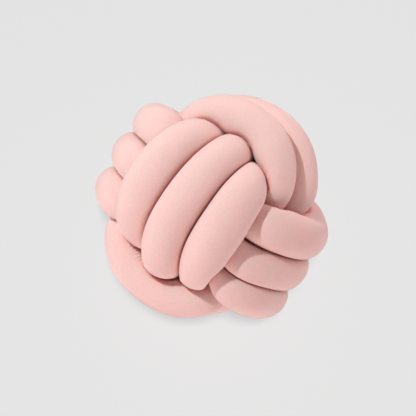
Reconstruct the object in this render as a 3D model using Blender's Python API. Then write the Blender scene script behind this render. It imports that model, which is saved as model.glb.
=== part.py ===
"""Knot cushion: one stuffed jersey tube, wound three times in each of three directions into a ball.

The knot has three axes at right angles. Each band of three turns runs round two of them: it passes over
another band where it shows, far from the middle, and dives under the third band on the sides between,
near the middle. The tube is one closed ring, because its two ends are sewn together inside.
"""
import math
from collections import namedtuple

import bmesh
import bpy
import numpy as np
from mathutils.bvhtree import BVHTree

# ---- driving dimensions, in metres ----
PITCH = 0.0535            # middle to middle of two turns that lie side by side
REST_HEIGHT = 0.1430      # middle of the knot above the surface it rests on
SEAM_GAP = 0.0012         # clearance between two turns that press on each other
FLAT_GAP = 0.0006         # least clearance between the flat facets of two turns
THINNEST = 0.0040         # least half thickness of the tube where it is squeezed inside the knot

# ---- sizes as multiples of the pitch ----
FREE_RADIUS = 0.560       # half thickness of the tube where nothing presses on it
SQUASH = 10.0             # how suddenly the round side turns into the flat where two turns meet
CORE_MIDDLE = 1.22        # hidden middle turn, from the middle of the knot
CORE_OUTER = 1.08         # hidden outer turns, from the middle of the knot
CORE_SINK = 0.40          # how much nearer to the middle the hidden turns run half way between their ends
CORE_SWELL = 0.55         # how much further the hidden turns bulge into the middle of the knot
CORE_DEPTHS = (1.4, 1.9)  # from the middle: a turn is hidden nearer than the first and shows past the second
CORE_STEP = 0.72          # between hidden turns that run straight
CHANGE_STEP = 0.62        # between hidden turns that change to the next turn's place
DIVE_ALONG = 0.55         # where a diving turn has reached, as a share of its shoulder
DIVE_DEPTH = 0.30         # and its height above the core there, as a share of its shoulder
SOFTENING = 0.20          # length over which the tube rounds off its bends
OWN_STRETCH = 0.05        # how near a place of the tube's middle is to count as the same place

# ---- how the knot lies: the face with the front band looks up, a little to the left ----
FRONT_ROLL = 54.85        # degrees from +X to the run of the front band, seen from above
LEAN_ACROSS = 15.0        # degrees the front face leans against its turns' side step
LEAN_ALONG = 7.0          # degrees the front face leans back along its turns
LIE_BACK = 72.0           # degrees between the front view's line of sight and the level

# ---- mesh ----
RINGS = 330               # sections along the tube
SIDES = 14                # corners of a section
BEND_SHARE = 0.55         # how much closer the sections stand in a bend
FINE_STEPS = 24           # points of the smooth path between two stations
EVEN_ROUNDS = 6           # times that a corner standing out from its neighbours is taken down to them
STAND_OUT = 1.05          # and how much it may still stand out where the tube shows
CORE_STAND_OUT = 1.65     # and where it is hidden
EASE_ROUNDS = 40          # most times that facets which still cross are drawn in
EASE_SHARE = 0.96         # what is left of the radius each time

# ---- one row for each stretch that shows: the side step of the turn where the stretch enters, at its
# ---- middle and where it leaves, its reach from the middle of the knot, and how late it dives at each end
Stretch = namedtuple("Stretch", "enter middle leave reach dive_in dive_out")

FRONT_BAND = (
    (Stretch(-0.68, -1.00, -0.70, 2.24, 2.15, 4.0), Stretch(-0.95, -1.00, -0.95, 2.20, 6.5, 6.5)),
    (Stretch(0.14, -0.02, 0.12, 2.24, 4.9, 5.8), Stretch(0.00, 0.00, 0.00, 2.20, 6.5, 6.5)),
    (Stretch(0.98, 0.98, 0.80, 2.20, 2.75, 3.5), Stretch(0.95, 1.00, 0.95, 2.20, 6.5, 6.5)),
)
LEVEL_BAND = (
    (Stretch(1.18, 1.10, 0.80, 2.17, 4.2, 3.2), Stretch(0.95, 1.00, 0.95, 2.17, 3.4, 4.6)),
    (Stretch(0.48, 0.20, -0.08, 2.43, 3.2, 2.3), Stretch(0.00, 0.00, 0.00, 2.10, 6.5, 6.5)),
    (Stretch(-0.42, -0.72, -0.90, 2.24, 4.0, 6.5), Stretch(-0.95, -1.00, -0.95, 2.10, 6.5, 6.5)),
)
CROSS_BAND = (
    (Stretch(0.90, 0.90, 0.95, 2.30, 6.5, 6.5), Stretch(0.58, 0.74, 1.02, 2.26, 6.5, 6.5)),
    (Stretch(0.04, 0.06, 0.00, 2.33, 6.5, 6.5), Stretch(-0.40, -0.16, 0.00, 2.32, 6.5, 6.5)),
    (Stretch(-0.86, -0.88, -0.90, 2.21, 6.5, 6.5), Stretch(-0.95, -1.00, -0.95, 2.28, 5.0, 6.5)),
)

# ---- one row for each band: its far and near axes, its side-step axis, the sign of the near and far sides
# ---- that it enters first, the side step of its first turn, and the shift of its hidden straight run
Band = namedtuple("Band", "stretches far near step near_sign far_sign first core_shift")

ACROSS = np.array([1.0, 0.0, 0.0])
ALONG = np.array([0.0, 1.0, 0.0])
FRONT = np.array([0.0, 0.0, 1.0])
BANDS = (
    Band(FRONT_BAND, FRONT, ALONG, ACROSS, -1, 1, -1, 0.0),
    Band(LEVEL_BAND, ALONG, ACROSS, FRONT, 1, 1, 1, 0.0),
    Band(CROSS_BAND, ACROSS, FRONT, ALONG, -1, -1, 1, -0.1),
)

SHOULDER = math.radians(50.0)                 # end of the stretch that shows, seen from the middle
STATIONS = (-66, -50, -25, 0, 25, 50, 66)     # degrees along a stretch where the path is worked out

COVER_COLOUR = (0.85, 0.53, 0.49, 1.0)
COVER_ROUGHNESS = 0.85


def ease(share):
    """Smooth rise from 0 to 1."""
    share = min(1.0, max(0.0, share))
    return share * share * (3.0 - 2.0 * share)


def core_radius(step):
    """Distance of a hidden run from the middle: outer turns lie deeper than middle ones."""
    return CORE_MIDDLE if abs(step) < 1.0 else CORE_OUTER


def side_step(stretch, sine):
    """Side step of a turn at a place along its stretch, given by the sine of the angle there."""
    share = max(-1.0, min(1.0, sine / math.sin(SHOULDER)))
    slant = (stretch.leave - stretch.enter) / 2.0
    bow = (stretch.leave + stretch.enter) / 2.0 - stretch.middle
    return stretch.middle + slant * share + bow * share * share


def in_plane(stretch, step, sine, core):
    """Distance from the middle in the turn's own plane, so that a turn stepped aside stays on the ball."""
    held = math.sqrt(max(1.0, stretch.reach ** 2 - max(0.0, step ** 2 - stretch.middle ** 2)))
    dive = stretch.dive_in if sine < 0 else stretch.dive_out
    return core + (held - core) * (1.0 - abs(sine) ** dive)


def stretch_points(band, stretch, far_sign, near_sign, before, after):
    """Stations of one showing stretch; before and after are (side step, core radius) of its hidden ends."""
    points = []
    for degrees in STATIONS:
        angle = math.radians(degrees)
        sine = math.sin(angle)
        hidden_step, core = before if degrees < 0 else after
        step = side_step(stretch, sine)
        if abs(angle) > SHOULDER:
            end = math.copysign(math.sin(SHOULDER), sine)
            shoulder = in_plane(stretch, side_step(stretch, end), end, core)
            far = DIVE_ALONG * shoulder * math.cos(SHOULDER)
            near = core + DIVE_DEPTH * (shoulder * math.sin(SHOULDER) - core)
        else:
            distance = in_plane(stretch, step, sine, core)
            far = distance * math.cos(angle)
            near = distance * abs(sine)
        past = (abs(sine) - math.sin(SHOULDER)) / (1.0 - math.sin(SHOULDER))
        step += (hidden_step - step) * ease(past)
        side = near_sign if sine < 0 else -near_sign
        points.append(far_sign * far * band.far + side * near * band.near + step * band.step)
    return points


def hidden_point(band, side, run):
    """Station half way along a hidden run, given by its (side step, core radius)."""
    step, core = run
    return side * (core - CORE_SINK) * band.near + step * band.step


def band_points(band):
    """Stations of the three turns of a band, from where it takes over the tube to where it hands it on."""
    points = []
    for turn, (first, second) in enumerate(band.stretches):
        place = band.first * (1 - turn)
        enter = ((place + band.first * 0.5) * CHANGE_STEP, core_radius(0.0 if turn else 1.0))
        straight = (place * CORE_STEP + band.core_shift, core_radius(place))
        leave = ((place - band.first * 0.5) * CHANGE_STEP, core_radius(0.0 if turn < 2 else 1.0))
        points.append(hidden_point(band, band.near_sign, enter))
        points += stretch_points(band, first, band.far_sign, band.near_sign, enter, straight)
        points.append(hidden_point(band, -band.near_sign, straight))
        points += stretch_points(band, second, -band.far_sign, -band.near_sign, straight, leave)
    points.append(hidden_point(band, band.near_sign, leave))
    return points


def closed_curve(stations):
    """Smooth closed cubic curve through the stations."""
    count = len(stations)
    span = np.sqrt(np.linalg.norm(np.roll(stations, -1, 0) - stations, axis=1))
    system = np.zeros((count, count))
    target = np.zeros((count, 3))
    for here in range(count):
        before, after = (here - 1) % count, (here + 1) % count
        system[here, before] += span[here]
        system[here, here] += 2.0 * (span[before] + span[here])
        system[here, after] += span[before]
        rise_in = (stations[here] - stations[before]) / span[before]
        rise_out = (stations[after] - stations[here]) / span[here]
        target[here] = 3.0 * (span[here] * rise_in + span[before] * rise_out)
    slope = np.linalg.solve(system, target)
    t = (np.arange(FINE_STEPS) / FINE_STEPS)[:, None]
    pieces = []
    for here in range(count):
        after = (here + 1) % count
        start, end = stations[here], stations[after]
        out, back = slope[here] * span[here], slope[after] * span[here]
        pieces.append(
            (2 * t ** 3 - 3 * t ** 2 + 1) * start
            + (t ** 3 - 2 * t ** 2 + t) * out
            + (3 * t ** 2 - 2 * t ** 3) * end
            + (t ** 3 - t ** 2) * back
        )
    return np.concatenate(pieces)


def spaced(curve, count, bend_share=0.0):
    """The closed curve with a given number of points, evenly spaced or closer together in the bends."""
    leg = np.roll(curve, -1, 0) - curve
    length = np.linalg.norm(leg, axis=1)
    heading = leg / length[:, None]
    turning = np.arccos(np.clip((heading * np.roll(heading, 1, 0)).sum(1), -1.0, 1.0))
    weight = length + bend_share * turning
    travelled = np.concatenate([[0.0], np.cumsum(weight)])
    places = np.arange(count) / count * travelled[-1]
    closed = np.vstack([curve, curve[:1]])
    return np.stack([np.interp(places, travelled, closed[:, axis]) for axis in range(3)], axis=1)


def softened(curve, spread):
    """The evenly spaced closed curve with its bends rounded off over the spread."""
    step = np.linalg.norm(np.roll(curve, -1, 0) - curve, axis=1).mean()
    reach = int(math.ceil(3.0 * spread / step))
    offsets = np.arange(-reach, reach + 1)
    weights = np.exp(-0.5 * (offsets * step / spread) ** 2)
    weights /= weights.sum()
    return sum(weight * np.roll(curve, offset, 0) for offset, weight in zip(offsets, weights))


def knot_path():
    """The smooth closed path of the tube's middle, in pitches, as many even points."""
    stations = np.array([point for band in BANDS for point in band_points(band)])
    curve = closed_curve(stations)
    even = spaced(curve, len(curve))
    return softened(even, SOFTENING)


def section_frames(path):
    """Heading and two cross directions at each point of the path, turning as little as they can."""
    heading = np.roll(path, -1, 0) - np.roll(path, 1, 0)
    heading /= np.linalg.norm(heading, axis=1)[:, None]
    count = len(path)
    side = np.zeros_like(path)
    carried = path[0]
    for here in range(count):
        carried = carried - heading[here] * (carried @ heading[here])
        carried = carried / np.linalg.norm(carried)
        side[here] = carried
    other = np.cross(heading, side)
    closing = carried - heading[0] * (carried @ heading[0])
    twist = math.atan2(closing @ other[0], closing @ side[0])
    angle = -twist * np.arange(count) / count
    cos, sin = np.cos(angle)[:, None], np.sin(angle)[:, None]
    return cos * side + sin * other, cos * other - sin * side


def free_distance(path, rays, whole):
    """How far each ray runs before it is as near to another place of the tube's middle as to its own."""
    limits = np.zeros(rays.shape[:2])
    for here, point in enumerate(path):
        away = whole - point
        squared = (away ** 2).sum(1)
        others = squared > OWN_STRETCH ** 2
        towards = rays[here] @ away[others].T
        halfway = squared[others][None] / (2.0 * np.maximum(towards, 1e-9))
        limits[here] = halfway.min(axis=1)
    return limits


def hidden_share(path):
    """1 where the tube is hidden inside the knot, 0 where it shows."""
    return np.interp(np.linalg.norm(path, axis=1), CORE_DEPTHS, (1.0, 0.0))[:, None]


def free_radius(path, rays):
    """Half thickness of the tube where nothing presses on it: the hidden turns fill the middle of the knot."""
    outward = path / np.linalg.norm(path, axis=1)[:, None]
    facing = -(rays * outward[:, None]).sum(2)
    return FREE_RADIUS + CORE_SWELL * hidden_share(path) * np.clip(1.0 + 2.0 * facing, 0.0, 1.0)


def ring_facets(rings, sides):
    """Corner numbers of the triangles between the rings of a closed tube."""
    facets = []
    for here in range(rings):
        start, following = here * sides, (here + 1) % rings * sides
        for corner in range(sides):
            after = (corner + 1) % sides
            facets.append((start + corner, start + after, following + after))
            facets.append((start + corner, following + after, following + corner))
    return facets


def evened(radius, path):
    """The radii with every corner that stands out between two presses taken down to its neighbours."""
    stand_out = STAND_OUT + (CORE_STAND_OUT - STAND_OUT) * hidden_share(path)
    for _ in range(EVEN_ROUNDS):
        along = np.roll(radius, 1, 0) + np.roll(radius, -1, 0)
        around = np.roll(radius, 1, 1) + np.roll(radius, -1, 1)
        radius = np.minimum(radius, stand_out * (along + around) / 4.0)
    return radius


def drawn_in(path, rays, radius):
    """The radii, made smaller where the flat facets of two turns would still cross."""
    rings, sides = radius.shape
    facets = ring_facets(rings, sides)
    for _ in range(EASE_ROUNDS):
        corners = (path[:, None] + (radius + FLAT_GAP / 2.0 / PITCH)[..., None] * rays).reshape(-1, 3)
        tree = BVHTree.FromPolygons(corners.tolist(), facets)
        crossing = {
            facet
            for one, other in tree.overlap(tree)
            if not set(facets[one]) & set(facets[other])
            for facet in (one, other)
        }
        if not crossing:
            break
        moved = sorted({corner for facet in crossing for corner in facets[facet]})
        radius.reshape(-1)[moved] *= EASE_SHARE
    return radius


def tube_points(rings, sides):
    """Points of the tube's surface in metres, ring by ring, squeezed flat where its turns meet."""
    whole = knot_path()
    path = spaced(whole, rings, BEND_SHARE)
    side, other = section_frames(path)
    angles = np.arange(sides) / sides * 2.0 * math.pi
    rays = np.cos(angles)[None, :, None] * side[:, None] + np.sin(angles)[None, :, None] * other[:, None]
    limit = free_distance(path, rays, whole)
    free = free_radius(path, rays)
    radius = (free ** -SQUASH + limit ** -SQUASH) ** (-1.0 / SQUASH)
    radius = np.maximum(radius - SEAM_GAP / 2.0 / PITCH, THINNEST / PITCH)
    radius = drawn_in(path, rays, evened(radius, path))
    return (path[:, None] + radius[..., None] * rays) * PITCH


def lying_axes():
    """World directions of the knot's across, along and front axes, as the columns of a matrix."""
    roll = math.radians(FRONT_ROLL)
    along = np.array([math.cos(roll), math.sin(roll), 0.0])
    across = np.array([math.sin(roll), -math.cos(roll), 0.0])
    sight = np.array([0.0, 0.0, 1.0])
    front = sight - math.tan(math.radians(LEAN_ACROSS)) * across - math.tan(math.radians(LEAN_ALONG)) * along
    front /= np.linalg.norm(front)
    axis = np.cross(sight, front)
    cosine = sight @ front
    turned = [v * cosine + np.cross(axis, v) + axis * (axis @ v) / (1.0 + cosine) for v in (across, along)]
    seen = np.column_stack(turned + [front])
    level = math.radians(LIE_BACK)
    lie = np.array([
        [1.0, 0.0, 0.0],
        [0.0, math.sin(level), -math.cos(level)],
        [0.0, math.cos(level), math.sin(level)],
    ])
    return lie @ seen


def tube_mesh(points):
    """Closed mesh through the rings of points, cut flat where it rests."""
    rings, sides = points.shape[:2]
    mesh = bmesh.new()
    corners = [mesh.verts.new(point) for point in points.reshape(-1, 3)]
    for facet in ring_facets(rings, sides):
        mesh.faces.new([corners[corner] for corner in facet])
    everything = mesh.verts[:] + mesh.edges[:] + mesh.faces[:]
    bmesh.ops.bisect_plane(
        mesh, geom=everything, dist=1e-5, plane_co=(0, 0, 0), plane_no=(0, 0, -1), clear_outer=True
    )
    rims = [edge for edge in mesh.edges if edge.is_boundary]
    bmesh.ops.holes_fill(mesh, edges=rims, sides=0)
    bmesh.ops.recalc_face_normals(mesh, faces=mesh.faces[:])
    return mesh


def cover_material():
    """Matt pale pink jersey."""
    material = bpy.data.materials.new("pale_pink_jersey")
    material.use_nodes = True
    shader = material.node_tree.nodes["Principled BSDF"]
    shader.inputs["Base Color"].default_value = COVER_COLOUR
    shader.inputs["Roughness"].default_value = COVER_ROUGHNESS
    shader.inputs["Metallic"].default_value = 0.0
    return material


def knot_tube():
    """The whole cushion, resting at the origin."""
    points = tube_points(RINGS, SIDES) @ lying_axes().T
    lowest, highest = points.min(axis=(0, 1)), points.max(axis=(0, 1))
    points += np.array([0.0, 0.0, REST_HEIGHT])
    points[..., :2] -= ((lowest + highest) / 2.0)[:2]
    mesh = tube_mesh(points)
    data = bpy.data.meshes.new("knot_tube")
    mesh.to_mesh(data)
    mesh.free()
    data.materials.append(cover_material())
    data.shade_smooth()
    tube = bpy.data.objects.new("knot_tube", data)
    bpy.context.collection.objects.link(tube)
    return tube


for old in list(bpy.data.objects):
    bpy.data.objects.remove(old)
knot_tube()
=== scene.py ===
import math
from collections import namedtuple

import bpy
import numpy as np
from mathutils import Matrix, Vector


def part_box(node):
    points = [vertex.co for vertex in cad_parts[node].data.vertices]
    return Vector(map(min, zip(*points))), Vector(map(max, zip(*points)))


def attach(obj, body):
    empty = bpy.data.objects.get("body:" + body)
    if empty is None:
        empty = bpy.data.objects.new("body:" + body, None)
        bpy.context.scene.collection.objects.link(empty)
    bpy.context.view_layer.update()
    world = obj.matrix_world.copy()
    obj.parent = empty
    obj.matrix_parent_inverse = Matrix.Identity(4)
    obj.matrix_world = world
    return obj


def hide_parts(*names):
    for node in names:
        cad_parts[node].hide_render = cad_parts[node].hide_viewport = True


# Knot cushion: the look of one stuffed jersey tube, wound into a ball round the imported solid.
# The tube's middle line follows the same named sizes as the solid, and its tables but for a few
# millimetres in five of their rows. A node tree presses the tube flat where its turns meet and makes
# the small lumps of a filled cover.

bl_info = {
    "name": "Knot Cushion",
    "version": (1, 0, 0),
    "blender": (4, 5, 0),
    "location": "3D View > Sidebar > Knot Cushion",
    "description": "Makes a ball-shaped knot cushion from one stuffed jersey tube, and a pale stage for it",
    "category": "Add Mesh",
}

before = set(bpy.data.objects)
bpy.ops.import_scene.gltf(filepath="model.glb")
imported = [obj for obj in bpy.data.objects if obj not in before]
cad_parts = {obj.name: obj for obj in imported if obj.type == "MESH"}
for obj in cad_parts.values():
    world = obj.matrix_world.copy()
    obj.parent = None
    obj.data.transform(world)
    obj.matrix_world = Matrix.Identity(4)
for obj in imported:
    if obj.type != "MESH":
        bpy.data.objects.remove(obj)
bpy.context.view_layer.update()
TUBE_NODE = "knot_tube"

# ---- the knot: sizes as multiples of the spacing of two turns ----
FREE_RADIUS = 0.560       # half thickness of the tube where nothing presses on it
CORE_MIDDLE = 1.22        # hidden middle turn, from the middle of the knot
CORE_OUTER = 1.08         # hidden outer turns, from the middle of the knot
CORE_SINK = 0.40          # how much nearer to the middle the hidden turns run half way between their ends
CORE_SWELL = 0.55         # how much further the hidden turns bulge into the middle of the knot
CORE_DEPTHS = (1.4, 1.9)  # from the middle: a turn is hidden up to the first, and shows past the second
CORE_STEP = 0.72          # between hidden turns that run straight
CHANGE_STEP = 0.62        # between hidden turns that change to the next turn's place
DIVE_ALONG = 0.55         # where a diving turn has reached, as a share of its shoulder
DIVE_DEPTH = 0.30         # and its height above the core there, as a share of its shoulder
SOFTENING = 0.20          # length over which the tube rounds off its bends
OWN_STRETCH = 0.05        # how near a place of the tube's middle is to count as the same place
FINE_STEPS = 24           # points of the smooth path between two stations
SHOULDER = math.radians(50.0)                 # end of the stretch that shows, seen from the middle
STATIONS = (-66, -50, -25, 0, 25, 50, 66)     # degrees along a stretch where the path is worked out

# ---- the pressing ----
NO_NEIGHBOUR = 1.0        # metres to the next turn where none lies ahead
NEAR_NOTHING = 1e-7       # metres: the least way towards the next turn that is divided by
BELOW_ALL = -1.0          # metres: a lower limit that holds nothing back
FOLD_SHADE_START = 1.02         # the painted shade in the folds is at its deepest up to this way to the next turn, in radii
LOOSE_FROM = 0.75         # share of the free half thickness from which the filling makes lumps
LUMP_ROUGHNESS = 0.4      # of the noise that makes the lumps

# ---- how the knot lies: the face with the front band looks up, a little to the left ----
FRONT_ROLL = 54.85        # degrees from +X to the run of the front band, seen from above
LEAN_ACROSS = 15.0        # degrees the front face leans against its turns' side step
LEAN_ALONG = 7.0          # degrees the front face leans back along its turns
LIE_BACK = 72.0           # degrees between the front view's line of sight and the level

# ---- one row for each stretch that shows: the side step of the turn where the stretch enters, at its
# ---- middle and where it leaves, its reach from the middle of the knot, and how late it dives at each end
Stretch = namedtuple("Stretch", "enter middle leave reach dive_in dive_out")

FRONT_BAND = (
    (Stretch(-0.68, -1.00, -0.70, 2.24, 2.15, 4.0), Stretch(-0.95, -1.00, -0.95, 2.20, 6.5, 6.5)),
    (Stretch(0.14, -0.02, 0.12, 2.24, 4.9, 5.8), Stretch(0.00, 0.00, 0.00, 2.20, 6.5, 6.5)),
    (Stretch(0.95, 1.01, 0.80, 2.20, 2.35, 3.5), Stretch(0.95, 1.00, 0.95, 2.20, 6.5, 6.5)),
)
LEVEL_BAND = (
    (Stretch(1.28, 1.12, 0.80, 2.21, 3.0, 3.2), Stretch(0.95, 1.00, 0.95, 2.17, 3.4, 4.6)),
    (Stretch(0.48, 0.16, -0.08, 2.43, 4.8, 2.3), Stretch(0.00, 0.00, 0.00, 2.10, 6.5, 6.5)),
    (Stretch(-0.42, -0.72, -0.90, 2.27, 4.0, 6.5), Stretch(-0.95, -1.00, -0.95, 2.10, 6.5, 6.5)),
)
CROSS_BAND = (
    (Stretch(0.90, 0.90, 0.95, 2.30, 6.5, 6.5), Stretch(0.58, 0.74, 1.02, 2.26, 6.5, 6.5)),
    (Stretch(0.04, 0.06, 0.00, 2.33, 6.5, 6.5), Stretch(-0.44, -0.16, 0.00, 2.29, 6.5, 6.5)),
    (Stretch(-0.86, -0.88, -0.90, 2.21, 6.5, 6.5), Stretch(-0.95, -1.00, -0.95, 2.28, 5.0, 6.5)),
)

# ---- one row for each band: its far and near axes, its side-step axis, the sign of the near and far sides
# ---- that it enters first, the side step of its first turn, and the shift of its hidden straight run
Band = namedtuple("Band", "stretches far near step near_sign far_sign first core_shift")

ACROSS = np.array([1.0, 0.0, 0.0])
ALONG = np.array([0.0, 1.0, 0.0])
FRONT = np.array([0.0, 0.0, 1.0])
BANDS = (
    Band(FRONT_BAND, FRONT, ALONG, ACROSS, -1, 1, -1, 0.0),
    Band(LEVEL_BAND, ALONG, ACROSS, FRONT, 1, 1, 1, 0.0),
    Band(CROSS_BAND, ACROSS, FRONT, ALONG, -1, -1, 1, -0.1),
)

# ---- the photo's frame in pixels: its width, and where the middle of the cushion's box falls ----
PHOTO_WIDTH = 416
BOX_MIDDLE_ACROSS = 211.80
BOX_MIDDLE_DOWN = 206.80
PITCH_IN_PHOTO = 40.5     # from one turn to the next at the cushion's middle

# ---- camera and floor, in metres ----
SENSOR_WIDTH = 0.036
FLOOR_HALF = 30.0         # half the side of the floor
MILLIMETRES = 1000.0      # in a metre

# ---- the floor's finish ----
FLOOR_GRAIN_SCALE = 400.0  # grains for each metre
FLOOR_ROUGHNESS = 0.88
FLOOR_GRAIN_ROUGHER = 0.06

# ---- the knit: one column of stitches is two slanting legs wide ----
STITCH_SLANT = 0.9        # rows by which a leg shifts from the middle of its column to the side
YARN_ROUND = 0.6          # how round the yarn is from row to row: less is flatter
LEG_ROUND = 0.5           # and across a leg
STITCH_MIDDLE = 0.6       # height of the relief, from 0 to 1, at which the painted stitch shade leaves the colour as it is
BETWEEN_ROUGHNESS = 0.90  # between the stitches
YARN_SMOOTHER = 0.10      # how much smoother the top of the yarn is

# ---- what makes the cover uneven: its patches or grains in a metre, and shares of tone, painted shade and relief ----
MOTTLE_SCALE = 22.0
GRAIN_SCALE = 620.0
GRAIN_ROUGHNESS = 0.6
NOISE_DETAIL = 2.0
MOTTLE_SHADE = 0.5
GRAIN_SHADE = 1.5
# the stitches' share is painted shade between them and painted light on their tops
STITCH_SHADE = 0.35
STITCH_RELIEF = 0.8
GRAIN_RELIEF = 0.5

# ---- small puckers of the cover beside the folds: how they stray from their rows of stitches, then one
# ---- row for each spot that has them, with its middle and reach in metres, and their strength
WANDER_SCALE = 90.0       # bends for each metre
WANDER = 5.0              # radians
FULL_WITHIN = 0.3         # share of the reach within which the puckers have their full strength

Pucker = namedtuple("Pucker", "place reach share")

PUCKERS = (
    Pucker((-0.0930, -0.0700, 0.1758), 0.020, 1.0),
    Pucker((0.0042, 0.0714, 0.2522), 0.016, 0.4),
    Pucker((0.0963, -0.0263, 0.2317), 0.018, 0.4),
)

# ---- the lights: direction in degrees round the photo from its right side, degrees above the plane of the
# ---- photo, then width, distance, watts, colour, and whether the light reaches the cushion or the floor
Light = namedtuple("Light", "name around above width distance power colour reaches")

CLEAR = (0.91, 1.0, 1.0)
WARM = (1.0, 0.78, 0.77)
WHITE = (1.0, 1.0, 1.0)
LIGHTS = (
    Light("key_light", 128.0, 48.0, 0.05, 1.75, 18.9, CLEAR, "cushion"),
    Light("upper_left_light", 135.0, 20.0, 1.0, 1.75, 10.5, WARM, "cushion"),
    Light("upper_right_light", 45.0, 20.0, 1.0, 1.75, 12.5, WARM, "cushion"),
    Light("right_light", 0.0, 20.0, 1.0, 1.75, 7.0, WARM, "cushion"),
    Light("lower_left_light", 225.0, 30.0, 1.0, 1.75, 9.5, WARM, "cushion"),
    Light("low_light", 270.0, 20.0, 1.0, 1.75, 17.5, WARM, "cushion"),
    Light("floor_light", 80.0, 83.0, 1.7, 12.0, 2780.0, WHITE, "floor"),
)


class Field:
    """A node socket to reckon with: arithmetic on it adds Math nodes to its tree."""

    def __init__(self, tree, socket=None):
        self.tree = tree
        self.socket = socket

    def node(self, kind, settings=None, values=None, output=0):
        """Any other node: its settings are set first, then the values or links of its sockets."""
        made = self.tree.nodes.new(kind)
        for name, setting in (settings or {}).items():
            setattr(made, name, setting)
        for place, value in (values or {}).items():
            if isinstance(value, Field):
                value.feed(made.inputs[place])
            else:
                made.inputs[place].default_value = value
        return Field(self.tree, made.outputs[output])

    def feed(self, socket):
        """Link this value to a socket."""
        self.tree.links.new(self.socket, socket)

    def math(self, operation, *operands):
        return self.node("ShaderNodeMath", {"operation": operation}, dict(enumerate(operands)))

    def vector(self, operation, *operands, output=0):
        values = dict(enumerate(operands))
        return self.node("ShaderNodeVectorMath", {"operation": operation}, values, output)

    def __add__(self, other):
        return self.math("ADD", self, other)

    def __radd__(self, other):
        return self.math("ADD", other, self)

    def __sub__(self, other):
        return self.math("SUBTRACT", self, other)

    def __rsub__(self, other):
        return self.math("SUBTRACT", other, self)

    def __mul__(self, other):
        return self.math("MULTIPLY", self, other)

    def __rmul__(self, other):
        return self.math("MULTIPLY", other, self)

    def __truediv__(self, other):
        return self.math("DIVIDE", self, other)

    def __rtruediv__(self, other):
        return self.math("DIVIDE", other, self)

    def __pow__(self, other):
        return self.math("POWER", self, other)

    def __abs__(self):
        return self.math("ABSOLUTE", self)

    def sine(self):
        return self.math("SINE", self)

    def fraction(self):
        return self.math("FRACT", self)

    def lowest(self, other):
        return self.math("MINIMUM", self, other)

    def highest(self, other):
        return self.math("MAXIMUM", self, other)

    def ramp(self, start, end, low=0.0, high=1.0):
        """This value taken smoothly from low, at start, to high, at end."""
        return self.node(
            "ShaderNodeMapRange",
            {"interpolation_type": "SMOOTHSTEP"},
            {0: self, 1: start, 2: end, 3: low, 4: high},
        )

    def noise(self, scale, detail, roughness=0.5):
        """Value between 0 and 1 that varies unevenly from place to place; this field is the place."""
        return self.node("ShaderNodeTexNoise", None, {0: self, 2: scale, 3: detail, 4: roughness})

    def blend(self, first, second):
        """Colour between the first and the second, by this value from 0 to 1."""
        return self.node("ShaderNodeMix", {"data_type": "RGBA"}, {0: self, 6: first, 7: second}, output=2)


# ---------------------------------------------------------------- the tube's middle line


def ease(share):
    """Smooth rise from 0 to 1."""
    share = min(1.0, max(0.0, share))
    return share * share * (3.0 - 2.0 * share)


def core_radius(step):
    """Distance of a hidden run from the middle: outer turns lie deeper than middle ones."""
    return CORE_MIDDLE if abs(step) < 1.0 else CORE_OUTER


def side_step(stretch, sine):
    """Side step of a turn at a place along its stretch, given by the sine of the angle there."""
    share = max(-1.0, min(1.0, sine / math.sin(SHOULDER)))
    slant = (stretch.leave - stretch.enter) / 2.0
    bow = (stretch.leave + stretch.enter) / 2.0 - stretch.middle
    return stretch.middle + slant * share + bow * share * share


def in_plane(stretch, step, sine, core):
    """Distance from the middle in the turn's own plane, so that a turn stepped aside stays on the ball."""
    held = math.sqrt(max(1.0, stretch.reach ** 2 - max(0.0, step ** 2 - stretch.middle ** 2)))
    dive = stretch.dive_in if sine < 0 else stretch.dive_out
    return core + (held - core) * (1.0 - abs(sine) ** dive)


def stretch_points(band, stretch, far_sign, near_sign, before, after):
    """Stations of one showing stretch; before and after are (side step, core radius) of its hidden ends."""
    points = []
    for degrees in STATIONS:
        angle = math.radians(degrees)
        sine = math.sin(angle)
        hidden_step, core = before if degrees < 0 else after
        step = side_step(stretch, sine)
        if abs(angle) > SHOULDER:
            end = math.copysign(math.sin(SHOULDER), sine)
            shoulder = in_plane(stretch, side_step(stretch, end), end, core)
            far = DIVE_ALONG * shoulder * math.cos(SHOULDER)
            near = core + DIVE_DEPTH * (shoulder * math.sin(SHOULDER) - core)
        else:
            distance = in_plane(stretch, step, sine, core)
            far = distance * math.cos(angle)
            near = distance * abs(sine)
        past = (abs(sine) - math.sin(SHOULDER)) / (1.0 - math.sin(SHOULDER))
        step += (hidden_step - step) * ease(past)
        side = near_sign if sine < 0 else -near_sign
        points.append(far_sign * far * band.far + side * near * band.near + step * band.step)
    return points


def hidden_point(band, side, run):
    """Station half way along a hidden run, given by its (side step, core radius)."""
    step, core = run
    return side * (core - CORE_SINK) * band.near + step * band.step


def band_points(band):
    """Stations of the three turns of a band, from where it takes over the tube to where it hands it on."""
    points = []
    last = len(band.stretches) - 1
    for turn, (first, second) in enumerate(band.stretches):
        place = band.first * (1 - turn)
        enter = ((place + band.first * 0.5) * CHANGE_STEP, core_radius(0.0 if turn else 1.0))
        straight = (place * CORE_STEP + band.core_shift, core_radius(place))
        leave = ((place - band.first * 0.5) * CHANGE_STEP, core_radius(0.0 if turn < last else 1.0))
        points.append(hidden_point(band, band.near_sign, enter))
        points += stretch_points(band, first, band.far_sign, band.near_sign, enter, straight)
        points.append(hidden_point(band, -band.near_sign, straight))
        points += stretch_points(band, second, -band.far_sign, -band.near_sign, straight, leave)
    points.append(hidden_point(band, band.near_sign, leave))
    return points


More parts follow.
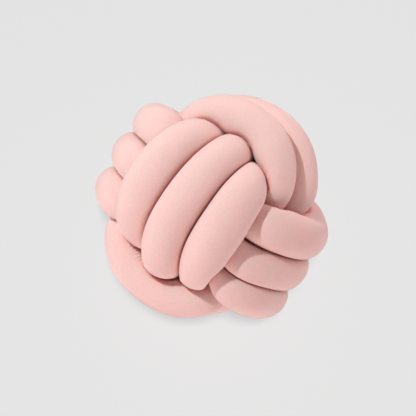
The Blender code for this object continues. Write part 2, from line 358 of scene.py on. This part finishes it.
def closed_curve(stations):
    """Smooth closed cubic curve through the stations."""
    count = len(stations)
    span = np.sqrt(np.linalg.norm(np.roll(stations, -1, 0) - stations, axis=1))
    system = np.zeros((count, count))
    target = np.zeros((count, 3))
    for here in range(count):
        before, after = (here - 1) % count, (here + 1) % count
        system[here, before] += span[here]
        system[here, here] += 2.0 * (span[before] + span[here])
        system[here, after] += span[before]
        rise_in = (stations[here] - stations[before]) / span[before]
        rise_out = (stations[after] - stations[here]) / span[here]
        target[here] = 3.0 * (span[here] * rise_in + span[before] * rise_out)
    slope = np.linalg.solve(system, target)
    t = (np.arange(FINE_STEPS) / FINE_STEPS)[:, None]
    pieces = []
    for here in range(count):
        after = (here + 1) % count
        start, end = stations[here], stations[after]
        out, back = slope[here] * span[here], slope[after] * span[here]
        pieces.append(
            (2 * t ** 3 - 3 * t ** 2 + 1) * start
            + (t ** 3 - 2 * t ** 2 + t) * out
            + (3 * t ** 2 - 2 * t ** 3) * end
            + (t ** 3 - t ** 2) * back
        )
    return np.concatenate(pieces)


def evenly(curve, count):
    """The closed curve with a given number of evenly spaced points."""
    length = np.linalg.norm(np.roll(curve, -1, 0) - curve, axis=1)
    travelled = np.concatenate([[0.0], np.cumsum(length)])
    places = np.arange(count) / count * travelled[-1]
    closed = np.vstack([curve, curve[:1]])
    return np.stack([np.interp(places, travelled, closed[:, axis]) for axis in range(3)], axis=1)


def softened(curve, spread):
    """The evenly spaced closed curve with its bends rounded off over the spread."""
    step = np.linalg.norm(np.roll(curve, -1, 0) - curve, axis=1).mean()
    reach = int(math.ceil(3.0 * spread / step))
    offsets = np.arange(-reach, reach + 1)
    weights = np.exp(-0.5 * (offsets * step / spread) ** 2)
    weights /= weights.sum()
    return sum(weight * np.roll(curve, offset, 0) for offset, weight in zip(offsets, weights))


def lying_axes():
    """World directions of the knot's across, along and front axes, as the columns of a matrix."""
    roll = math.radians(FRONT_ROLL)
    along = np.array([math.cos(roll), math.sin(roll), 0.0])
    across = np.array([math.sin(roll), -math.cos(roll), 0.0])
    sight = np.array([0.0, 0.0, 1.0])
    front = sight - math.tan(math.radians(LEAN_ACROSS)) * across
    front -= math.tan(math.radians(LEAN_ALONG)) * along
    front /= np.linalg.norm(front)
    axis = np.cross(sight, front)
    cosine = sight @ front
    turned = [
        direction * cosine + np.cross(axis, direction) + axis * (axis @ direction) / (1.0 + cosine)
        for direction in (across, along)
    ]
    seen = np.column_stack(turned + [front])
    level = math.radians(LIE_BACK)
    lie = np.array([
        [1.0, 0.0, 0.0],
        [0.0, math.sin(level), -math.cos(level)],
        [0.0, math.cos(level), math.sin(level)],
    ])
    return lie @ seen


def knot_path(pitch, rings):
    """The tube's middle line round the middle of the knot, in metres, as evenly spaced points."""
    stations = np.array([point for band in BANDS for point in band_points(band)])
    curve = closed_curve(stations)
    smooth = softened(evenly(curve, len(curve)), SOFTENING)
    return evenly(smooth, rings) @ lying_axes().T * pitch


def section_frames(path):
    """Two cross directions at each point of the path, turning as little as they can."""
    heading = np.roll(path, -1, 0) - np.roll(path, 1, 0)
    heading /= np.linalg.norm(heading, axis=1)[:, None]
    count = len(path)
    side = np.zeros_like(path)
    carried = path[0]
    for here in range(count):
        carried = carried - heading[here] * (carried @ heading[here])
        carried = carried / np.linalg.norm(carried)
        side[here] = carried
    other = np.cross(heading, side)
    closing = carried - heading[0] * (carried @ heading[0])
    twist = math.atan2(closing @ other[0], closing @ side[0])
    angle = -twist * np.arange(count) / count
    cos, sin = np.cos(angle)[:, None], np.sin(angle)[:, None]
    return cos * side + sin * other, cos * other - sin * side


# ---------------------------------------------------------------- the tube's mesh


def store(mesh, name, vectors):
    """Keep a vector for each vertex of the mesh."""
    kept = mesh.attributes.new(name, "FLOAT_VECTOR", "POINT")
    kept.data.foreach_set("vector", np.ascontiguousarray(vectors, float).ravel())


def new_object(name, data):
    """A mesh, camera or light as an object of the scene."""
    made = bpy.data.objects.new(name, data)
    bpy.context.scene.collection.objects.link(made)
    return made


def tube_faces(rings, sides):
    """Corners of the closed tube's faces, ring by ring."""
    ring = np.arange(rings)[:, None]
    corner = np.arange(sides)[None, :]
    here = ring * sides
    onward = (ring + 1) % rings * sides
    after = (corner + 1) % sides
    corners = [here + corner, here + after, onward + after, onward + corner]
    return np.stack(corners, axis=2).reshape(-1, 4)


def stitch_places(travelled, sides, ribs, rows):
    """Place of each face's corners in the knit, in stitches round the tube and rows along it."""
    shape = (len(travelled) - 1, sides)
    corner = np.arange(sides)[None, :]
    around = np.broadcast_to(corner / sides * ribs, shape)
    around_after = np.broadcast_to((corner + 1) / sides * ribs, shape)
    down = np.broadcast_to(travelled[:-1, None], shape) / travelled[-1] * rows
    down_onward = np.broadcast_to(travelled[1:, None], shape) / travelled[-1] * rows
    corners = [around, down, around_after, down, around_after, down_onward, around, down_onward]
    return np.stack(corners, axis=2)


def plain_tube(knot):
    """The tube before anything presses on it, with what the pressing needs to know at each vertex."""
    rings, sides = knot.rings, knot.sides
    path = knot_path(knot.pitch, rings)
    side, other = section_frames(path)
    angle = np.arange(sides) / sides * 2.0 * math.pi
    rays = np.cos(angle)[None, :, None] * side[:, None] + np.sin(angle)[None, :, None] * other[:, None]
    radius = FREE_RADIUS * knot.pitch
    leg = np.linalg.norm(np.roll(path, -1, 0) - path, axis=1)
    travelled = np.concatenate([[0.0], np.cumsum(leg)])
    # where each vertex would be if the tube lay straight, for lumps that run on from ring to ring
    straight = np.zeros((rings, sides, 3))
    straight[..., 0] = radius * np.cos(angle)
    straight[..., 1] = radius * np.sin(angle)
    straight[..., 2] = travelled[:-1, None]

    mesh = bpy.data.meshes.new("stuffed_tube")
    mesh.from_pydata((path[:, None] + radius * rays).reshape(-1, 3), [], tube_faces(rings, sides))
    store(mesh, "middle", np.repeat(path, sides, axis=0))
    store(mesh, "ray", rays)
    store(mesh, "straight", straight)
    ribs = round(2.0 * math.pi * radius / knot.stitch_width)
    rows = round(travelled[-1] / knot.stitch_height)
    stitches = stitch_places(travelled, sides, ribs, rows)
    mesh.uv_layers.new(name="stitches").data.foreach_set("uv", stitches.ravel())
    mesh.shade_smooth()
    return mesh, path


# ---------------------------------------------------------------- the pressing, as a node tree


def named_inputs(tree, inputs):
    """Named inputs of the tree, and their identifiers by name."""
    for name, kind, value in inputs:
        socket = tree.interface.new_socket(name, in_out="INPUT", socket_type=kind)
        if value is not None:
            socket.default_value = value
    sockets = [socket for socket in tree.interface.items_tree if socket.in_out == "INPUT"]
    return {socket.name: socket.identifier for socket in sockets}


def mark(tree, name, kind="FLOAT"):
    """What the mesh keeps under a name at each vertex."""
    return Field(tree).node("GeometryNodeInputNamedAttribute", {"data_type": kind}, {0: name})


def keep(geometry, name, value):
    """The geometry, which now keeps a value under a name at each vertex."""
    settings = {"data_type": "FLOAT", "domain": "POINT"}
    return geometry.node("GeometryNodeStoreNamedAttribute", settings, {0: geometry, 2: name, 3: value})


def averaged(value, rounds):
    """The value averaged over neighbouring vertices, a number of times."""
    return value.node("GeometryNodeBlurAttribute", {"data_type": "FLOAT"}, {0: value, 1: rounds})


def repeated(geometry, rounds):
    """A repeat zone: its last node, and the geometry and the round's number inside it."""
    tree = geometry.tree
    start = tree.nodes.new("GeometryNodeRepeatInput")
    end = tree.nodes.new("GeometryNodeRepeatOutput")
    start.pair_with_output(end)
    rounds.feed(start.inputs["Iterations"])
    geometry.feed(start.inputs["Geometry"])
    return end, Field(tree, start.outputs["Geometry"]), Field(tree, start.outputs["Iteration"])


def after_repeat(end, geometry):
    """The geometry that leaves a repeat zone."""
    geometry.feed(end.inputs["Geometry"])
    return Field(geometry.tree, end.outputs["Geometry"])


def with_reach(geometry, given):
    """Keep how far each ray runs until it is half way to the nearest place of another turn."""
    tree = geometry.tree
    middle = mark(tree, "middle", "FLOAT_VECTOR")
    line = geometry.node("GeometryNodeObjectInfo", None, {0: given["Middle line"]}, output=4)
    place = geometry.node("GeometryNodeInputPosition")
    end, inside, turn = repeated(keep(geometry, "reach", NO_NEIGHBOUR), given["Middle points"])
    sample = {0: line, 1: place, 2: turn}
    other = geometry.node("GeometryNodeSampleIndex", {"data_type": "FLOAT_VECTOR"}, sample)
    away = geometry.vector("SUBTRACT", other, middle)
    squared = geometry.vector("DOT_PRODUCT", away, away, output=1)
    towards = geometry.vector("DOT_PRODUCT", away, mark(tree, "ray", "FLOAT_VECTOR"), output=1)
    halfway = squared / (2.0 * towards.highest(NEAR_NOTHING))
    same = squared.math("LESS_THAN", squared, given["Same place"] * given["Same place"])
    return after_repeat(end, keep(inside, "reach", mark(tree, "reach").lowest(halfway + same)))


def with_radius(geometry, given):
    """Keep the tube's radius along each ray: the softened least of the free and the pressed one, evened."""
    tree = geometry.tree
    middle = mark(tree, "middle", "FLOAT_VECTOR")
    depth = geometry.vector("LENGTH", middle, output=1)
    hidden = depth.ramp(given["Hidden within"], given["Shows past"], 1.0, 0.0)
    outwards = geometry.vector("NORMALIZE", middle)
    rising = geometry.vector("DOT_PRODUCT", outwards, mark(tree, "ray", "FLOAT_VECTOR"), output=1)
    inner_side = (1.0 - 2.0 * rising).lowest(1.0).highest(0.0)
    thickness = given["Free radius"]
    free = thickness + given["Inner swell"] * hidden * inner_side
    squash = given["Squash"]
    free_part = (free / thickness) ** (0.0 - squash)
    pressed_part = (mark(tree, "reach") / thickness) ** (0.0 - squash)
    pressed = thickness * (free_part + pressed_part) ** (-1.0 / squash)
    pressed = (pressed - given["Seam gap"] / 2.0).highest(given["Thinnest"])
    geometry = keep(geometry, "radius", pressed)

    radius = mark(tree, "radius")
    end, inside, _ = repeated(geometry, given["Even rounds"])
    evened = radius.lowest(averaged(radius, 1) * given["Stand out"])
    geometry = after_repeat(end, keep(inside, "radius", evened))
    return keep(geometry, "radius", averaged(radius, given["Smooth rounds"]))


def with_folds(geometry, given):
    """Keep two marks: painted shade where two turns all but touch, and puckers where the next turn is
    close.
    """
    ratio = mark(geometry.tree, "reach") / mark(geometry.tree, "radius")
    geometry = keep(geometry, "fold", (ratio - FOLD_SHADE_START).ramp(0.0, given["Fold reach"], 1.0, 0.0))
    return keep(geometry, "close", ratio.ramp(1.0, given["Pucker reach"], 1.0, 0.0))


def in_shape(geometry, given):
    """Move each vertex out to its radius, with the filling's lumps, but not below the floor."""
    tree = geometry.tree
    radius = mark(tree, "radius")
    loose = (radius / given["Free radius"]).ramp(LOOSE_FROM, 1.0)
    lumps = mark(tree, "straight", "FLOAT_VECTOR").noise(1.0 / given["Lump size"], 1.0, LUMP_ROUGHNESS)
    lumpy = radius + (lumps - 0.5) * 2.0 * given["Lump depth"] * loose
    lowest = geometry.node("ShaderNodeCombineXYZ", None, {0: BELOW_ALL, 1: BELOW_ALL, 2: given["Floor"]})
    scaled = {0: mark(tree, "ray", "FLOAT_VECTOR"), "Scale": lumpy}
    outward = geometry.node("ShaderNodeVectorMath", {"operation": "SCALE"}, scaled)
    moved = geometry.vector("ADD", mark(tree, "middle", "FLOAT_VECTOR"), outward)
    resting = geometry.vector("MAXIMUM", moved, lowest)
    return geometry.node("GeometryNodeSetPosition", None, {0: geometry, 2: resting})


def pressed_tube_tree():
    """Node tree that presses the tube flat where its turns meet, marks its folds and adds its lumps."""
    tree = bpy.data.node_groups.new("pressed_tube", "GeometryNodeTree")
    tree.interface.new_socket("Geometry", in_out="OUTPUT", socket_type="NodeSocketGeometry")
    # pressed_tube sets most of these, and the others keep the value that they have here
    identifiers = named_inputs(tree, (
        ("Geometry", "NodeSocketGeometry", None),
        ("Middle line", "NodeSocketObject", None),
        ("Middle points", "NodeSocketInt", 1040),
        ("Same place", "NodeSocketFloat", 0.0027),
        ("Free radius", "NodeSocketFloat", 0.030),
        ("Inner swell", "NodeSocketFloat", 0.029),
        ("Hidden within", "NodeSocketFloat", 0.075),
        ("Shows past", "NodeSocketFloat", 0.10),
        ("Squash", "NodeSocketFloat", 16.0),
        ("Seam gap", "NodeSocketFloat", 0.0006),
        ("Thinnest", "NodeSocketFloat", 0.004),
        ("Even rounds", "NodeSocketInt", 12),
        ("Stand out", "NodeSocketFloat", 1.01),
        ("Smooth rounds", "NodeSocketInt", 2),
        ("Lump depth", "NodeSocketFloat", 0.0006),
        ("Lump size", "NodeSocketFloat", 0.045),
        ("Fold reach", "NodeSocketFloat", 0.08),
        ("Pucker reach", "NodeSocketFloat", 1.6),
        ("Floor", "NodeSocketFloat", -0.143),
        ("Cover", "NodeSocketMaterial", None),
    ))
    entry = tree.nodes.new("NodeGroupInput")
    given = {name: Field(tree, entry.outputs[name]) for name in identifiers}
    geometry = given["Geometry"]
    for step in (with_reach, with_radius, with_folds, in_shape):
        geometry = step(geometry, given)
    geometry = geometry.node("GeometryNodeRealizeInstances", None, {0: geometry})
    geometry = geometry.node("GeometryNodeSetMaterial", None, {0: geometry, 2: given["Cover"]})
    geometry.feed(tree.nodes.new("NodeGroupOutput").inputs[0])
    return tree, identifiers


def applied(source, modifier, name):
    """The object's evaluated mesh as a plain object of its own; the source goes."""
    view = bpy.context.evaluated_depsgraph_get()
    evaluated = source.evaluated_get(view)
    mesh = bpy.data.meshes.new_from_object(evaluated, preserve_all_data_layers=True, depsgraph=view)
    source.modifiers.remove(modifier)
    bpy.data.objects.remove(source)
    mesh.name = name
    return new_object(name, mesh)


def pressed_tube(knot, cover):
    """The stuffed tube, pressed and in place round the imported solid."""
    mesh, path = plain_tube(knot)
    source = new_object("plain_tube", mesh)
    line_mesh = bpy.data.meshes.new("middle_line")
    line_mesh.from_pydata(path, [], [])
    line = new_object("middle_line", line_mesh)
    tree, identifiers = pressed_tube_tree()
    modifier = source.modifiers.new("pressed", "NODES")
    modifier.node_group = tree
    values = {
        "Middle line": line,
        "Middle points": len(path),
        "Same place": OWN_STRETCH * knot.pitch,
        "Free radius": FREE_RADIUS * knot.pitch,
        "Inner swell": CORE_SWELL * knot.pitch,
        "Hidden within": CORE_DEPTHS[0] * knot.pitch,
        "Shows past": CORE_DEPTHS[1] * knot.pitch,
        "Squash": knot.squash,
        "Seam gap": knot.seam_gap,
        "Lump depth": knot.lump_depth,
        "Lump size": knot.lump_size,
        "Floor": -knot.rest_height,
        "Cover": cover,
    }
    for name, value in values.items():
        modifier[identifiers[name]] = value
    tube = applied(source, modifier, "stuffed_tube")
    bpy.data.objects.remove(line)
    lay_down(tube, knot.rest_height)
    return tube


def lay_down(tube, rest_height):
    """Shift the tube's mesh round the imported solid, at the height where the knot rests on the floor."""
    points = np.zeros(len(tube.data.vertices) * 3, np.float32)
    tube.data.vertices.foreach_get("co", points)
    points = points.reshape(-1, 3)
    solid_low, solid_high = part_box(TUBE_NODE)
    centre = (points.min(axis=0) + points.max(axis=0)) / 2.0
    shift = np.array((solid_low + solid_high) / 2.0) - centre
    shift[2] = rest_height
    points += shift
    tube.data.vertices.foreach_set("co", points.ravel())
    tube.data.update()


# ---------------------------------------------------------------- materials


def new_material(name, plain_values):
    """A material, a field to build its nodes from, and its shader's sockets, the plain values set."""
    material = bpy.data.materials.new(name)
    material.use_nodes = True
    sockets = material.node_tree.nodes["Principled BSDF"].inputs
    for socket, value in plain_values.items():
        sockets[socket].default_value = value
    return material, Field(material.node_tree), sockets


def stitch_height(across, down):
    """Relief of the knit from 0 to 1, by the columns and the rows of its stitches."""
    leg = across.fraction()
    row = down - abs(leg * 2.0 - 1.0) * STITCH_SLANT
    yarn = abs((row * math.pi).sine())
    width = abs((leg * (2.0 * math.pi)).sine())
    return (yarn ** YARN_ROUND) * (width ** LEG_ROUND)


def puckers(place, down, close, rows):
    """Small waves of the cover along the tube, at the spots that have them, beside the next turn."""
    wander = place.noise(WANDER_SCALE, 1.0) * WANDER
    wave = (down * (2.0 * math.pi / rows) + wander).sine()
    near = 0.0
    for spot in PUCKERS:
        away = place.vector("DISTANCE", place, spot.place, output=1)
        near = near + away.ramp(FULL_WITHIN * spot.reach, spot.reach, spot.share, 0.0)
    return wave * close * near


def jersey(cover):
    """Fine knitted jersey: small slanting stitches, a little uneven, with red painted shade in the folds.
    """
    material, field, sockets = new_material("pale_pink_jersey", {
        "Sheen Weight": cover.sheen,
        "Sheen Roughness": 0.2,
        "Sheen Tint": (1.0, 0.80, 0.78, 1.0),
        "Specular IOR Level": 0.25,
        "Subsurface Weight": cover.glow,
        "Subsurface Radius": (1.0, 0.30, 0.25),
        "Subsurface Scale": cover.glow_reach,
    })
    stitches = field.node("ShaderNodeUVMap", {"uv_map": "stitches"})
    across = field.node("ShaderNodeSeparateXYZ", None, {0: stitches}, output=0)
    down = field.node("ShaderNodeSeparateXYZ", None, {0: stitches}, output=1)
    place = field.node("ShaderNodeTexCoord", output=3)
    fold = field.node("ShaderNodeAttribute", {"attribute_name": "fold"}, output=2)
    close = field.node("ShaderNodeAttribute", {"attribute_name": "close"}, output=2)

    height = stitch_height(across, down)
    mottle = place.noise(MOTTLE_SCALE, NOISE_DETAIL)
    grain = place.noise(GRAIN_SCALE, NOISE_DETAIL, GRAIN_ROUGHNESS)
    uneven = (mottle - 0.5) * MOTTLE_SHADE + (grain - 0.5) * GRAIN_SHADE
    # the yarn's random tone, with painted shade between the stitches and painted light on their tops
    tone_and_stitch_shade = (uneven + (height - STITCH_MIDDLE) * STITCH_SHADE + 0.5).highest(0.0).lowest(1.0)
    plain = tone_and_stitch_shade.blend((*cover.dark_tone_and_shade_colour, 1.0), (*cover.light_tone_and_lit_colour, 1.0))
    # painted shade, darker and redder, where two turns all but touch
    colour = (fold * cover.fold_shade_strength).blend(plain, (*cover.fold_shade_colour, 1.0))
    knit = height * (STITCH_RELIEF * cover.stitch_depth) + grain * (GRAIN_RELIEF * cover.stitch_depth)
    relief = knit + puckers(place, down, close, cover.pucker_rows) * cover.pucker_depth
    bump = field.node("ShaderNodeBump", None, {"Strength": 1.0, "Distance": 1.0, "Height": relief})
    colour.feed(sockets["Base Color"])
    (BETWEEN_ROUGHNESS - height * YARN_SMOOTHER).feed(sockets["Roughness"])
    bump.feed(sockets["Normal"])
    return material


def pale_floor(stage):
    """Plain matt floor with an even glow of its own."""
    material, field, sockets = new_material("pale_floor", {
        "Base Color": (*stage.floor_colour, 1.0),
        "Specular IOR Level": 0.1,
        "Emission Color": (1.0, 1.0, 1.0, 1.0),
        "Emission Strength": stage.floor_glow,
    })
    place = field.node("ShaderNodeTexCoord", output=3)
    grain = place.noise(FLOOR_GRAIN_SCALE, NOISE_DETAIL)
    (FLOOR_ROUGHNESS + grain * FLOOR_GRAIN_ROUGHER).feed(sockets["Roughness"])
    return material


# ---------------------------------------------------------------- the stage


def picture_axes():
    """Right, up and towards the viewer in the photo, as world directions."""
    level = math.radians(LIE_BACK)
    right = Vector((1.0, 0.0, 0.0))
    up = Vector((0.0, math.sin(level), math.cos(level)))
    return right, up, right.cross(up)


def photo_camera(knot, stage):
    """Camera at the photo's angle, with the cushion where the photo has it."""
    right, up, back = picture_axes()
    pixel = knot.pitch / PITCH_IN_PHOTO
    low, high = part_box(TUBE_NODE)
    target = (low + high) / 2.0
    target -= right * ((BOX_MIDDLE_ACROSS - PHOTO_WIDTH / 2.0) * pixel)
    target += up * ((BOX_MIDDLE_DOWN - PHOTO_WIDTH / 2.0) * pixel)
    distance = PHOTO_WIDTH * pixel * stage.focal_length / SENSOR_WIDTH
    data = bpy.data.cameras.new("photo_camera")
    data.sensor_width = SENSOR_WIDTH * MILLIMETRES
    data.lens = stage.focal_length * MILLIMETRES
    camera = new_object("photo_camera", data)
    turned = Matrix((right, up, back)).transposed().to_4x4()
    camera.matrix_world = Matrix.Translation(target + back * distance) @ turned
    bpy.context.scene.camera = camera


def level_floor(stage):
    """Wide square floor at the height on which the cushion rests."""
    corners = [(-1.0, -1.0, 0.0), (1.0, -1.0, 0.0), (1.0, 1.0, 0.0), (-1.0, 1.0, 0.0)]
    mesh = bpy.data.meshes.new("floor")
    mesh.from_pydata(np.array(corners) * FLOOR_HALF, [], [(0, 1, 2, 3)])
    mesh.materials.append(pale_floor(stage))
    return new_object("floor", mesh)


def soft_fill(strength):
    """Even white light from all round."""
    world = bpy.data.worlds.new("soft_fill")
    world.use_nodes = True
    background = world.node_tree.nodes["Background"]
    background.inputs["Color"].default_value = (1.0, 1.0, 1.0, 1.0)
    background.inputs["Strength"].default_value = strength
    bpy.context.scene.world = world


def soft_light(row, strength, target, receiver):
    """Square soft light that reaches one object only."""
    right, up, back = picture_axes()
    around, above = math.radians(row.around), math.radians(row.above)
    level = right * math.cos(around) + up * math.sin(around)
    towards = level * math.cos(above) + back * math.sin(above)
    data = bpy.data.lights.new(row.name, "AREA")
    data.size = row.width
    data.energy = row.power * strength
    data.color = row.colour
    light = new_object(row.name, data)
    light.location = target + towards * row.distance
    light.rotation_euler = towards.to_track_quat("Z", "Y").to_euler()
    receivers = bpy.data.collections.new(row.name + "_receivers")
    receivers.objects.link(receiver)
    light.light_linking.receiver_collection = receivers


# ---------------------------------------------------------------- settings, operators and panel


class KnotSettings(bpy.types.PropertyGroup):
    """Sizes of the stuffed tube and its knot."""

    pitch: bpy.props.FloatProperty(
        name="Turn spacing", description="From the middle of one turn to the middle of the next",
        default=0.0535, min=0.02, max=0.2, unit="LENGTH",
    )
    rest_height: bpy.props.FloatProperty(
        name="Rest height", description="Middle of the knot above the surface it rests on",
        default=0.1430, min=0.05, max=0.6, unit="LENGTH",
    )
    squash: bpy.props.FloatProperty(
        name="Squash", description="How suddenly the round side turns into the flat where two turns meet",
        default=16.0, min=2.0, max=20.0,
    )
    seam_gap: bpy.props.FloatProperty(
        name="Gap", description="Clearance between two turns that press on each other",
        default=0.0006, min=0.0, max=0.01, unit="LENGTH",
    )
    lump_depth: bpy.props.FloatProperty(
        name="Lump depth", description="How far the filling pushes the cover out of round",
        default=0.0006, min=0.0, max=0.01, unit="LENGTH",
    )
    lump_size: bpy.props.FloatProperty(
        name="Lump size", description="Width of the filling's lumps",
        default=0.045, min=0.01, max=0.3, unit="LENGTH",
    )
    stitch_width: bpy.props.FloatProperty(
        name="Stitch width", description="Width of one column of knitted stitches",
        default=0.00115, min=0.0003, max=0.01, unit="LENGTH",
    )
    stitch_height: bpy.props.FloatProperty(
        name="Stitch height", description="Height of one row of knitted stitches",
        default=0.00085, min=0.0003, max=0.01, unit="LENGTH",
    )
    rings: bpy.props.IntProperty(
        name="Rings", description="Sections along the tube", default=1040, min=300, max=3000,
    )
    sides: bpy.props.IntProperty(
        name="Sides", description="Corners of each section", default=96, min=12, max=128,
    )


class CoverSettings(bpy.types.PropertyGroup):
    """Colours and stitches of the jersey."""

    # two ends of the yarn's random tone, which also carry painted light on raised stitches and painted
    # shade between them
    light_tone_and_lit_colour: bpy.props.FloatVectorProperty(
        name="Light tone and lit colour", description="Lighter end of the yarn's uneven tone, and painted light where the stitches are raised",
        default=(0.89, 0.65, 0.61), min=0.0, max=1.0, size=3, subtype="COLOR",
    )
    dark_tone_and_shade_colour: bpy.props.FloatVectorProperty(
        name="Dark tone and shade colour", description="Darker end of the yarn's uneven tone, and painted shade between the stitches",
        default=(0.80, 0.54, 0.505), min=0.0, max=1.0, size=3, subtype="COLOR",
    )
    # painted shade in the folds: its colour and how much of it shows
    fold_shade_colour: bpy.props.FloatVectorProperty(
        name="Fold shade colour", description="Painted shade, darker and redder, in the narrow folds between two turns",
        default=(0.68, 0.10, 0.08), min=0.0, max=1.0, size=3, subtype="COLOR",
    )
    fold_shade_strength: bpy.props.FloatProperty(
        name="Fold shade strength", description="How much of the painted shade shows in the folds",
        default=0.5, min=0.0, max=1.0, subtype="FACTOR",
    )
    pucker_rows: bpy.props.FloatProperty(
        name="Pucker rows", description="Rows of stitches from one pucker to the next",
        default=7.0, min=1.0, max=100.0,
    )
    pucker_depth: bpy.props.FloatProperty(
        name="Pucker depth", description="Depth of the small puckers beside the folds",
        default=0.0005, min=0.0, max=0.02, precision=5, unit="LENGTH",
    )
    stitch_depth: bpy.props.FloatProperty(
        name="Stitch depth", description="Depth of the relief of the stitches",
        default=0.00012, min=0.0, max=0.002, precision=5, unit="LENGTH",
    )
    sheen: bpy.props.FloatProperty(
        name="Sheen", description="Strength of the soft light along the edges of the cloth",
        default=0.5, min=0.0, max=1.0, subtype="FACTOR",
    )
    glow: bpy.props.FloatProperty(
        name="Glow", description="Share of the light that wanders through the cloth and its filling",
        default=0.35, min=0.0, max=1.0, subtype="FACTOR",
    )
    glow_reach: bpy.props.FloatProperty(
        name="Glow reach", description="How far red light wanders through the cloth and its filling",
        default=0.006, min=0.0, max=0.1, unit="LENGTH",
    )


class StageSettings(bpy.types.PropertyGroup):
    """Floor, light and camera."""

    floor_colour: bpy.props.FloatVectorProperty(
        name="Floor colour", description="Colour of the floor",
        default=(0.15, 0.15, 0.15), min=0.0, max=1.0, size=3, subtype="COLOR",
    )
    fill: bpy.props.FloatProperty(
        name="Fill", description="Strength of the light from all round", default=0.05, min=0.0, max=5.0,
    )
    floor_glow: bpy.props.FloatProperty(
        name="Floor glow", description="Even brightness of the floor, whatever falls on it",
        default=0.485, min=0.0, max=1.0,
    )
    light: bpy.props.FloatProperty(
        name="Light", description="Strength of the lights, as a share of their table",
        default=1.0, min=0.0, max=5.0,
    )
    focal_length: bpy.props.FloatProperty(
        name="Focal length", description="Focal length of the camera",
        default=0.085, min=0.02, max=0.4, unit="LENGTH",
    )


class KNOT_OT_stuffed_tube(bpy.types.Operator):
    """Make the stuffed jersey tube, wound and pressed into the knot"""

    bl_idname = "knot_cushion.stuffed_tube"
    bl_label = "Stuffed tube"

    def execute(self, context):
        knot = context.scene.knot_cushion
        tube = pressed_tube(knot, jersey(context.scene.knot_cushion_cover))
        if len(tube.data.vertices) != knot.rings * knot.sides:
            raise RuntimeError("the pressed tube has lost vertices")
        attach(tube, "root")
        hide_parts(TUBE_NODE)
        return {"FINISHED"}


class KNOT_OT_stage(bpy.types.Operator):
    """Make the pale floor, the studio light and the camera"""

    bl_idname = "knot_cushion.stage"
    bl_label = "Stage"

    def execute(self, context):
        knot = context.scene.knot_cushion
        stage = context.scene.knot_cushion_stage
        floor = level_floor(stage)
        low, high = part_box(TUBE_NODE)
        receivers = {"cushion": bpy.data.objects["stuffed_tube"], "floor": floor}
        for row in LIGHTS:
            soft_light(row, stage.light, (low + high) / 2.0, receivers[row.reaches])
        soft_fill(stage.fill)
        context.scene.view_settings.view_transform = "Standard"
        photo_camera(knot, stage)
        return {"FINISHED"}


class KNOT_PT_cushion(bpy.types.Panel):
    """Sizes, colours and operators of the knot cushion"""

    bl_label = "Knot Cushion"
    bl_idname = "KNOT_PT_cushion"
    bl_space_type = "VIEW_3D"
    bl_region_type = "UI"
    bl_category = "Knot Cushion"

    def draw(self, context):
        scene = context.scene
        for title, settings, operator in (
            ("Tube", scene.knot_cushion, KNOT_OT_stuffed_tube),
            ("Cover", scene.knot_cushion_cover, None),
            ("Stage", scene.knot_cushion_stage, KNOT_OT_stage),
        ):
            box = self.layout.box()
            box.label(text=title)
            for name in settings.__annotations__:
                box.prop(settings, name)
            if operator:
                box.operator(operator.bl_idname)


CLASSES = (KnotSettings, CoverSettings, StageSettings, KNOT_OT_stuffed_tube, KNOT_OT_stage, KNOT_PT_cushion)


def register():
    for made in CLASSES:
        bpy.utils.register_class(made)
    bpy.types.Scene.knot_cushion = bpy.props.PointerProperty(type=KnotSettings)
    bpy.types.Scene.knot_cushion_cover = bpy.props.PointerProperty(type=CoverSettings)
    bpy.types.Scene.knot_cushion_stage = bpy.props.PointerProperty(type=StageSettings)


def unregister():
    del bpy.types.Scene.knot_cushion_stage
    del bpy.types.Scene.knot_cushion_cover
    del bpy.types.Scene.knot_cushion
    for made in reversed(CLASSES):
        bpy.utils.unregister_class(made)


def main():
    """Make the cushion and its stage."""
    register()
    bpy.ops.knot_cushion.stuffed_tube()
    bpy.ops.knot_cushion.stage()


if __name__ == "__main__":
    main()
